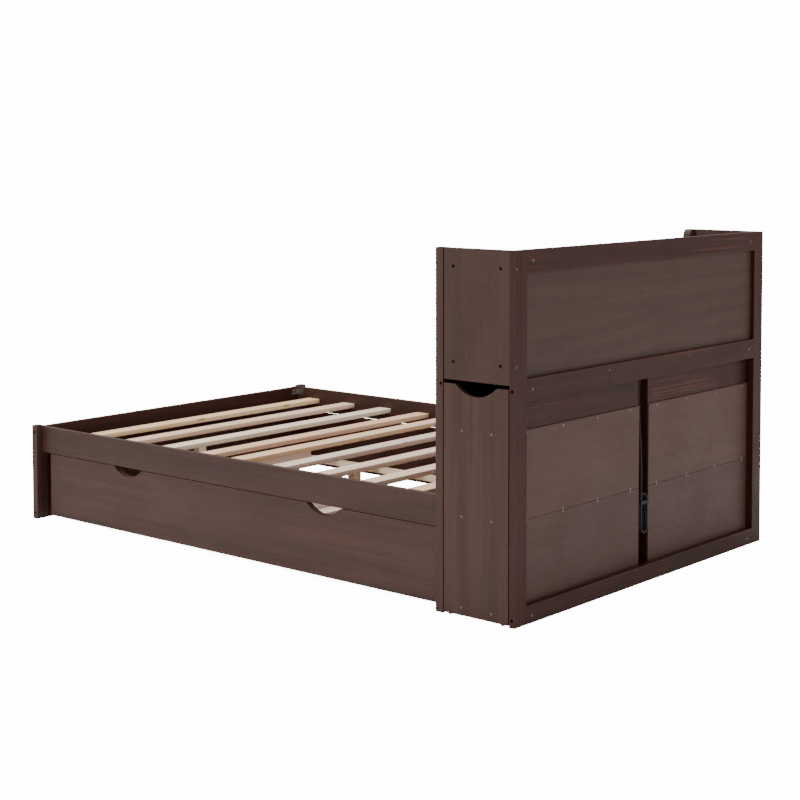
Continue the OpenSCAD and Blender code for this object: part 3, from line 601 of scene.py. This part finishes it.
# The starts of the names of the pieces with the darker, redder copy of the stain, which is painted
# shade
PAINTED_SHADE_PIECES = ("rear_", "cart_left_rail", "cart_right_rail", "front_panel", "cart_stop",
           "cart_left_inner", "cart_right_inner", "dividers", "foot_board", "slat_ledge",
           "trundle_back", "trundle_end")
for node in nodes_in("dark_wood"):
    finish = PAINTED_SHADE_FRAME if node.startswith(PAINTED_SHADE_PIECES) else PAINTED_LIGHT_SIDES
    eased(node, PAINTED_LIGHT_FRONT if node == "trundle_front" else finish, "dark_wood")
for node in nodes_in("dark_panel"):
    eased(node, PAINTED_LIGHT_PLY if "cart" in node else PAINTED_SHEEN_PANELS, "dark_panel", THIN_ROUND)
for node in nodes_in("raw_pine"):
    if node not in SLATTED:
        eased(node, PINE, "raw_pine", SMALL_ROUND)
print("eased nodes:", len(nodes_in("dark_wood")), "of stained boards,",
      len(nodes_in("dark_panel")), "of thin panels")

# %% [markdown]
# ## Slats
# The slats are one strip of pine, repeated. Geometry Nodes sweep a rounded rectangle along a
# straight line to make one slat, and set copies of it along the bed. The copies are made real and
# get their material at the end of the tree, and the result is kept as a plain mesh.

# %% Helpers for geometry nodes
def geometry_group(name, inputs):
    """An empty geometry tree with a mesh in, a mesh out and named inputs."""
    group = bpy.data.node_groups.new(name, "GeometryNodeTree")
    group.interface.new_socket("Geometry", in_out="INPUT", socket_type="NodeSocketGeometry")
    for label, kind in inputs.items():
        group.interface.new_socket(label, in_out="INPUT", socket_type="NodeSocket" + kind)
    group.interface.new_socket("Geometry", in_out="OUTPUT", socket_type="NodeSocketGeometry")
    given = group.nodes.new("NodeGroupInput").outputs
    return group, given, group.nodes.new("NodeGroupOutput").inputs


def end_tree(group, shapes, given, result):
    """Makes the copies real, gives them their material and puts them out."""
    real = add(group, "GeometryNodeRealizeInstances", None, Geometry=shapes).outputs[0]
    dressed = add(group, "GeometryNodeSetMaterial", None, Geometry=real, Material=given["Material"])
    put(group, result[0], dressed.outputs[0])
    return group


def grow(name, group, values, mesh=None):
    """Runs a geometry tree on a mesh and keeps the result as a plain mesh."""
    holder = link(name, mesh or bpy.data.meshes.new(name + "_start"))
    modifier = holder.modifiers.new("grow", "NODES")
    modifier.node_group = group
    for item in group.interface.items_tree:
        if item.in_out == "INPUT" and item.name in values:
            modifier[item.identifier] = values[item.name]
    graph = bpy.context.evaluated_depsgraph_get()
    made = bpy.data.meshes.new_from_object(holder.evaluated_get(graph), depsgraph=graph)
    holder.modifiers.remove(modifier)
    holder.data = made
    return holder


# %% Slat row tree
def rounded_outline(group, width, height, radius):
    """A rectangle with rounded corners, as a curve."""
    outline = add(group, "GeometryNodeCurvePrimitiveQuadrilateral", {"mode": "RECTANGLE"},
                  i0=width, i1=height).outputs[0]
    return add(group, "GeometryNodeFilletCurve", {"mode": "POLY"}, Curve=outline, Count=3,
               Radius=radius).outputs[0]


def make_slat_tree():
    group, given, result = geometry_group("slat_row", {
        "Count": "Int", "Pitch": "Float", "Length": "Float", "Width": "Float", "Thickness": "Float",
        "Round": "Float", "First": "Vector", "Material": "Material"})
    outline = rounded_outline(group, given["Width"], given["Thickness"], given["Round"])
    reach = maths(group, "MULTIPLY", given["Length"], 0.5)
    line = add(group, "GeometryNodeCurvePrimitiveLine", None, End=combine(group, reach),
               Start=combine(group, maths(group, "MULTIPLY", reach, -1.0))).outputs[0]
    slat = add(group, "GeometryNodeCurveToMesh", None, Curve=line, Profile_Curve=outline,
               Fill_Caps=True).outputs[0]
    row = add(group, "GeometryNodeMeshLine", {"mode": "OFFSET"}, Count=given["Count"],
              Start_Location=given["First"], Offset=combine(group, y=given["Pitch"])).outputs[0]
    copies = add(group, "GeometryNodeInstanceOnPoints", None, Points=row, Instance=slat).outputs[0]
    return end_tree(group, copies, given, result)


SLAT_ROW = make_slat_tree()
SLAT_ROUND = 1.6 * MM


def slat_row(node):
    """A row of slats that fills a CAD node's box, as many as the node has."""
    mesh = to_mesh(merged(node), node + "_merged")
    boxes = [box_of(mesh, ids) for ids in islands(mesh)]
    boxes.sort(key=lambda box: box[0].y)
    low, high = boxes[0]
    size = high - low
    piece = grow(node + "_row", SLAT_ROW, {
        "Count": len(boxes), "Pitch": boxes[1][0].y - low.y, "Length": size.x, "Width": size.y,
        "Thickness": size.z, "Round": SLAT_ROUND, "First": (low + high) / 2, "Material": PINE})
    stamp_boards(piece.data, node)
    finish_piece(piece, None, "raw_pine", node)
    print(node, len(boxes), "slats", round(size.y / MM), "mm wide")


for node in SLATTED:
    slat_row(node)

# %% [markdown]
# ## Nails and screws
# The thin backs are nailed, and the outer panels and the rear frame are screwed. Every head is a
# copy of one small shape, set on a point with a direction. The points come from the CAD fixings:
# each one's thin side gives its direction. A nail's head is a low dome, and a screw's is a disc
# with a cross recess.

# %% Head trees
def turned_heads(group, shape, given, result):
    """Copies of a shape that stands on z = 0, one on each point, turned to the point's facing."""
    facing = add(group, "GeometryNodeInputNamedAttribute", {"data_type": "FLOAT_VECTOR"},
                 Name="facing")
    turn = add(group, "FunctionNodeAlignRotationToVector", {"axis": "Z"}, Vector=facing.outputs[0])
    copies = add(group, "GeometryNodeInstanceOnPoints", None, Points=given["Geometry"],
                 Instance=shape, Rotation=turn.outputs[0]).outputs[0]
    return end_tree(group, copies, given, result)


def make_nail_tree():
    group, given, result = geometry_group("nail_heads", {
        "Radius": "Float", "Height": "Float", "Material": "Material"})
    ball = add(group, "GeometryNodeMeshUVSphere", None, Segments=20, Rings=10,
               Radius=1.0).outputs[0]
    size = combine(group, given["Radius"], given["Radius"], given["Height"])
    dome = add(group, "GeometryNodeTransform", None, Geometry=ball, Scale=size).outputs[0]
    return turned_heads(group, dome, given, result)


def make_screw_tree():
    group, given, result = geometry_group("screw_heads", {
        "Radius": "Float", "Height": "Float", "Material": "Material"})
    disc = add(group, "GeometryNodeMeshCylinder", None, Vertices=28, Radius=given["Radius"],
               Depth=given["Height"]).outputs["Mesh"]
    long_side = maths(group, "MULTIPLY", given["Radius"], 1.15)
    short_side = maths(group, "MULTIPLY", given["Radius"], 0.3)
    depth = maths(group, "MULTIPLY", given["Height"], 1.2)
    bars = []
    for x, y in ((long_side, short_side), (short_side, long_side)):
        bar = add(group, "GeometryNodeMeshCube", None, Size=combine(group, x, y, depth))
        lift = combine(group, z=maths(group, "MULTIPLY", given["Height"], 0.65))
        bars.append(add(group, "GeometryNodeTransform", None, Geometry=bar.outputs["Mesh"],
                        Translation=lift).outputs[0])
    cut = add(group, "GeometryNodeMeshBoolean", {"operation": "DIFFERENCE"})
    put(group, cut.inputs[0], disc)
    for bar in bars:
        group.links.new(bar, cut.inputs[1])
    half = maths(group, "MULTIPLY", given["Height"], -0.5)
    sunk = add(group, "GeometryNodeTransform", None, Geometry=cut.outputs[0],
               Translation=combine(group, z=half)).outputs[0]
    return turned_heads(group, sunk, given, result)


NAIL_HEADS = make_nail_tree()
SCREW_HEADS = make_screw_tree()
NAIL_THICK = 1.5 * MM  # a fixing thinner than this is a nail's head, and a thicker one a screw's


# %% Heads on the CAD fixings
def fixing_points(node):
    """Each fixing's outer middle, its direction, its radius and its height."""
    mesh = to_mesh(merged(node), node + "_merged")
    found = []
    for ids in islands(mesh):
        low, high = box_of(mesh, ids)
        size = high - low
        axis = min(range(3), key=lambda k: size[k])
        facing = Vector((0, 0, 0))
        facing[axis] = 1.0 if (low + high)[axis] > 0 else -1.0
        height = size[axis]
        found.append(((low + high) / 2 + facing * height / 2, facing, max(size) / 2, height))
    return found


def heads(name, tree, points, radius, height, material):
    """A grown mesh of heads on the given points."""
    mesh = bpy.data.meshes.new(name + "_points")
    mesh.from_pydata([place for place, facing in points], [], [])
    mesh.attributes.new("facing", "FLOAT_VECTOR", "POINT")
    for item, (place, facing) in zip(mesh.attributes["facing"].data, points):
        item.vector = facing
    return grow(name, tree, {"Radius": radius, "Height": height, "Material": material}, mesh)


def dress_fixings(node):
    """Nail domes where a fixing is thin, and screw heads where it is thick."""
    points = fixing_points(node)
    low = [p for p in points if p[3] < NAIL_THICK]
    deep = [p for p in points if p[3] >= NAIL_THICK]
    pieces = []
    if low:
        base = [(place - facing * height, facing) for place, facing, radius, height in low]
        pieces.append(heads(node + "_nails", NAIL_HEADS, base, low[0][2], low[0][3], ZINC))
    for radius in sorted({round(p[2], 4) for p in deep}):
        same = [(p[0], p[1]) for p in deep if round(p[2], 4) == radius]
        name = node + "_screws_" + str(round(2 * radius / MM))
        pieces.append(heads(name, SCREW_HEADS, same, radius, deep[0][3], SCREW))
    for piece in pieces:
        finish_piece(piece, None, "zinc_steel", node)
    print(node, len(low), "nails and", len(deep), "screws")


for node in ("cart_left_fixings", "cart_right_fixings", "rear_screws"):
    dress_fixings(node)

# %% [markdown]
# ## Turned parts
# The wheels and the strain relief are bodies of revolution: a profile of radius and height, turned
# round an axis. A wheel has a rounded tread, a thin web and a boss for its axle, and Geometry Nodes
# set ribs round the web. The strain relief tapers down the lead in rings, so that the lead bends
# gently where it leaves the bookcase.

# %% Turning a profile
def turn_profile(name, profile, middle, axis, steps=48):
    """A closed solid turned from (radius, height) points, round the axis Y or Z."""
    work = bmesh.new()
    rings = []
    for step in range(steps):
        angle = 2 * math.pi * step / steps
        c, s = math.cos(angle), math.sin(angle)
        ring = []
        for radius, height in profile:
            upright = (radius * c, radius * s, height)
            place = (radius * c, height, radius * s) if axis == "Y" else upright
            ring.append(work.verts.new(Vector(place) + middle))
        rings.append(ring)
    for one, two in zip(rings, rings[1:] + rings[:1]):
        for k in range(len(profile)):
            j = (k + 1) % len(profile)
            work.faces.new((one[k], one[j], two[j], two[k]))
    bmesh.ops.remove_doubles(work, verts=work.verts, dist=1e-7)
    bmesh.ops.recalc_face_normals(work, faces=work.faces)
    return to_mesh(work, name)


def smooth_by_angle(mesh, degrees=35):
    mesh.shade_smooth()
    mesh.set_sharp_from_angle(angle=math.radians(degrees))


# %% Wheel ribs
def make_rib_tree():
    group, given, result = geometry_group("wheel_ribs", {
        "Count": "Int", "Ring": "Float", "Rib": "Vector", "Middle": "Vector",
        "Material": "Material"})
    ring = add(group, "GeometryNodeMeshCircle", None, Vertices=given["Count"],
               Radius=given["Ring"]).outputs[0]
    upright = add(group, "GeometryNodeTransform", None, Geometry=ring,
                  Rotation=(math.pi / 2, 0, 0)).outputs[0]
    outward = add(group, "FunctionNodeAlignRotationToVector", {"axis": "X", "pivot_axis": "Y"},
                  Vector=add(group, "GeometryNodeInputPosition").outputs[0]).outputs[0]
    rib = add(group, "GeometryNodeMeshCube", None, Size=given["Rib"]).outputs["Mesh"]
    ribs = add(group, "GeometryNodeInstanceOnPoints", None, Points=upright, Instance=rib,
               Rotation=outward).outputs[0]
    placed = add(group, "GeometryNodeTransform", None, Geometry=ribs,
                 Translation=given["Middle"]).outputs[0]
    join = add(group, "GeometryNodeJoinGeometry")
    group.links.new(placed, join.inputs[0])
    group.links.new(given["Geometry"], join.inputs[0])
    return end_tree(group, join.outputs[0], given, result)


WHEEL_RIBS = make_rib_tree()
BORE, RIBS, RIB_THICK = 3.2 * MM, 6, 1.6 * MM
BOSS_SHARE, RIM_SHARE = 0.34, 0.68  # of the wheel's radius


def make_wheel(node):
    """A turned wheel with ribs. r is its radius and w half its width."""
    low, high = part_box(node)
    middle, r, w = (low + high) / 2, (high.z - low.z) / 2, (high.y - low.y) / 2
    boss, rim = BOSS_SHARE * r, RIM_SHARE * r
    one_side = [(BORE, 0.95 * w), (boss, 0.95 * w), (boss, 0.25 * w), (rim, 0.25 * w),
                (rim, 0.93 * w), (rim + 0.8 * MM, w), (0.88 * r, w), (0.95 * r, 0.95 * w),
                (0.99 * r, 0.86 * w), (r, 0.76 * w)]
    other_side = [(radius, -height) for radius, height in reversed(one_side)]
    mesh = turn_profile(node + "_turned", one_side + other_side, middle, "Y", 64)
    rib = (rim - boss + 0.6 * MM, 1.7 * w, RIB_THICK)
    wheel = grow(node + "_wheel", WHEEL_RIBS, {
        "Count": RIBS, "Ring": (rim + boss) / 2, "Rib": rib, "Middle": middle,
        "Material": WHEEL_NYLON}, mesh)
    smooth_by_angle(wheel.data)
    finish_piece(wheel, None, "wheel_nylon", node)


for node in nodes_in("wheel_nylon"):
    make_wheel(node)
print("wheels:", nodes_in("wheel_nylon"))


# %% Strain relief, plug and tie
RELIEF_RINGS, BLADE_THICK = 7, 3 * MM


def make_strain_relief():
    """A flanged bush above, and rings that taper down the lead below."""
    low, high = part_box("cord_grommet")
    middle = Vector(((low.x + high.x) / 2, (low.y + high.y) / 2, 0))
    flange_z = low.z + 34 * MM
    profile = [(0, high.z), (7.4 * MM, high.z), (8 * MM, high.z - 0.6 * MM),
               (8 * MM, flange_z + 3 * MM), (11.4 * MM, flange_z + 3 * MM),
               (12 * MM, flange_z + 2.4 * MM), (12 * MM, flange_z + 0.6 * MM),
               (11.4 * MM, flange_z), (6.4 * MM, flange_z)]
    for i in range(RELIEF_RINGS):
        outer = (6 - 2.2 * i / RELIEF_RINGS) * MM
        top = flange_z - (3 + 4.4 * i) * MM
        profile += [(outer, top), (outer, top - 2.4 * MM), (outer - 1.2 * MM, top - 2.9 * MM),
                    (outer - 1.2 * MM, top - 3.9 * MM)]
    profile += [(3.6 * MM, low.z), (0, low.z)]
    relief = link("strain_relief", turn_profile("strain_relief", profile, middle, "Z"))
    smooth_by_angle(relief.data)
    return finish_piece(relief, BLACK_PLASTIC, "black_plastic", "cord_grommet")


def make_plug():
    """The eased plug. Its thin solids are the blades, which are brass."""
    mesh = eased_mesh("cord_plug", THIN_ROUND)
    plug = link("power_plug", mesh)
    mesh.materials.append(PLUG_VINYL)
    mesh.materials.append(BRASS)
    blades = set()
    for ids in islands(mesh):
        low, high = box_of(mesh, ids)
        if high.x - low.x < BLADE_THICK:
            blades.update(ids)
    for face in mesh.polygons:
        face.material_index = 1 if face.vertices[0] in blades else 0
    return finish_piece(plug, None, "plug_black", "cord_plug")


relief = make_strain_relief()
plug = make_plug()
tie = eased("cord_tie", BLACK_PLASTIC, "black_plastic", FINE_ROUND)
print("the lead carries", [piece.name for piece in (relief, plug, tie)])

# %% [markdown]
# ## Hub and small hardware
# The hub is a moulded box with soft corners. Its front has a row of sockets, each drawn as a dark
# raised rim. The caster forks and the corner angles are bent zinc-plated steel, and the glides
# under the carts are moulded buttons.

# %% Hub and sockets
def make_socket_tree():
    group, given, result = geometry_group("socket_row", {
        "Count": "Int", "Pitch": "Float", "Width": "Float", "Height": "Float", "Rim": "Float",
        "First": "Vector", "Material": "Material"})
    corner = maths(group, "MULTIPLY", given["Rim"], 2.0)
    outline = rounded_outline(group, given["Width"], given["Height"], corner)
    wire = add(group, "GeometryNodeCurvePrimitiveCircle", None, Resolution=10,
               Radius=given["Rim"]).outputs[0]
    rim = add(group, "GeometryNodeCurveToMesh", None, Curve=outline, Profile_Curve=wire).outputs[0]
    upright = add(group, "GeometryNodeTransform", None, Geometry=rim,
                  Rotation=(math.pi / 2, 0, 0)).outputs[0]
    row = add(group, "GeometryNodeMeshLine", {"mode": "OFFSET"}, Count=given["Count"],
              Start_Location=given["First"], Offset=combine(group, given["Pitch"])).outputs[0]
    copies = add(group, "GeometryNodeInstanceOnPoints", None, Points=row,
                 Instance=upright).outputs[0]
    return end_tree(group, copies, given, result)


HUB_ROUND, RIM_PROUD, RIM_THICK = 4 * MM, 0.2 * MM, 0.7 * MM
# Name, width, height, place of the first one along the hub, number and pitch, in millimetres
SOCKETS = (("hub_outlets", 26, 22, -34, 2, 34), ("hub_usb_ports", 13, 6, 27, 2, 17))


def make_hub():
    eased("charging_hub", BLACK_PLASTIC, "black_plastic", HUB_ROUND)
    low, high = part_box("charging_hub")
    height = (low.z + high.z) / 2
    tree = make_socket_tree()
    for name, width, tall, start, count, pitch in SOCKETS:
        first = Vector((start * MM, low.y + RIM_PROUD, height))
        rims = grow(name, tree, {"Count": count, "Pitch": pitch * MM, "Width": width * MM,
                                 "Height": tall * MM, "Rim": RIM_THICK, "First": first,
                                 "Material": SLOT_DARK})
        smooth_by_angle(rims.data)
        finish_piece(rims, None, "black_plastic", body="bed")


make_hub()
for node in ("cart_left_glides", "cart_right_glides"):
    eased(node, BLACK_PLASTIC, "black_plastic", SMALL_ROUND)
for node in ("caster_forks", "corner_brackets"):
    eased(node, ZINC, "zinc_steel", FINE_ROUND)
NODES["frame_bolts"].data.materials.clear()
NODES["frame_bolts"].data.materials.append(BLACK_STEEL)
print("hub, glides, forks and angles are dressed")

# %% [markdown]
# ## Stage
# The bed stands on a pale floor in a pale surround, in soft light from all round with three large
# lamps. As on a studio's white sweep, the floor and the surround are lit apart from the bed: the
# camera sees them brighter than the light that they give. The floor under the bed's middle gets no
# such glow, because light that it seemed to give would show between the slats, and it is painted a
# warm brown there as painted shade.

# %% Floor and surround
FLOOR_REACH = 40
GLOW, AMBIENT = 14.0, 0.62
# The second floor colour is painted shade: a warm brown for the floor under the bed's middle
FLOOR_PALE, FLOOR_PAINTED_SHADE = (0.93, 0.93, 0.93, 1), (0.36, 0.25, 0.19, 1)
SHADE_X, SHADE_Y = 0.15, -0.15  # the middle of the shaded floor
SHADE_REACH_X, SHADE_REACH_Y = (0.45, 0.55), (0.85, 0.95)  # where its edge starts and ends


def make_floor():
    mesh = bpy.data.meshes.new("floor")
    far = FLOOR_REACH
    corners = [(-far, -far, 0), (far, -far, 0), (far, far, 0), (-far, far, 0)]
    mesh.from_pydata(corners, [], [(0, 1, 2, 3)])
    material, tree, shader = new_material("floor_paint")
    shader["Roughness"].default_value = 0.7
    shader["Emission Color"].default_value = (1, 1, 1, 1)
    seen = add(tree, "ShaderNodeLightPath").outputs["Is Camera Ray"]
    # How far a point lies from the middle of the painted shade, along each side
    place = add(tree, "ShaderNodeTexCoord").outputs["Object"]
    part = add(tree, "ShaderNodeSeparateXYZ", None, Vector=place).outputs
    off_x = maths(tree, "ABSOLUTE", maths(tree, "SUBTRACT", part[0], SHADE_X))
    off_y = maths(tree, "ABSOLUTE", maths(tree, "SUBTRACT", part[1], SHADE_Y))
    clear = maths(tree, "MAXIMUM", remap(tree, off_x, *SHADE_REACH_X),
                  remap(tree, off_y, *SHADE_REACH_Y))
    put(tree, shader["Emission Strength"], weight(tree, weight(tree, seen, clear), GLOW))
    # Painted shade: the floor turns from pale to a warm brown under the bed's middle
    put(tree, shader["Base Color"], mix_colour(tree, clear, FLOOR_PAINTED_SHADE, FLOOR_PALE))
    mesh.materials.append(material)
    link("floor", mesh)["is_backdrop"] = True


def make_surround():
    world = bpy.data.worlds.new("surround")
    world.use_nodes = True
    tree = world.node_tree
    seen = add(tree, "ShaderNodeLightPath").outputs["Is Camera Ray"]
    background = tree.nodes["Background"].inputs
    background["Color"].default_value = (1, 1, 1, 1)
    put(tree, background["Strength"], maths(tree, "ADD", weight(tree, seen, GLOW), AMBIENT))
    bpy.context.scene.world = world


def make_lamp(name, at, aim, size, power):
    """A round lamp at a place, turned to its aim. Its size is in metres and its power in watts."""
    data = bpy.data.lights.new(name, "AREA")
    data.shape = "DISK"
    data.size = size
    data.energy = power
    lamp = bpy.data.objects.new(name, data)
    bpy.context.scene.collection.objects.link(lamp)
    lamp.location = at
    lamp.rotation_euler = (Vector(aim) - Vector(at)).to_track_quat("-Z", "Y").to_euler()


make_floor()
make_surround()
make_lamp("behind_the_headboard", (-1.0, 5.5, 3.0), (0, 0.6, 0.5), 3.5, 90)
make_lamp("beside_the_trundle", (6.0, -0.5, 3.0), (0, -0.2, 0.2), 3.5, 200)
make_lamp("overhead", (0.3, -0.4, 5.2), (0, -0.3, 0.2), 3.0, 260)
print("stage and lamps are set")

# %% Print the sizes and finish
VISUAL_BOX = [list(corner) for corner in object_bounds()]
print("size after dressing", [[round(v, 3) for v in corner] for corner in VISUAL_BOX])
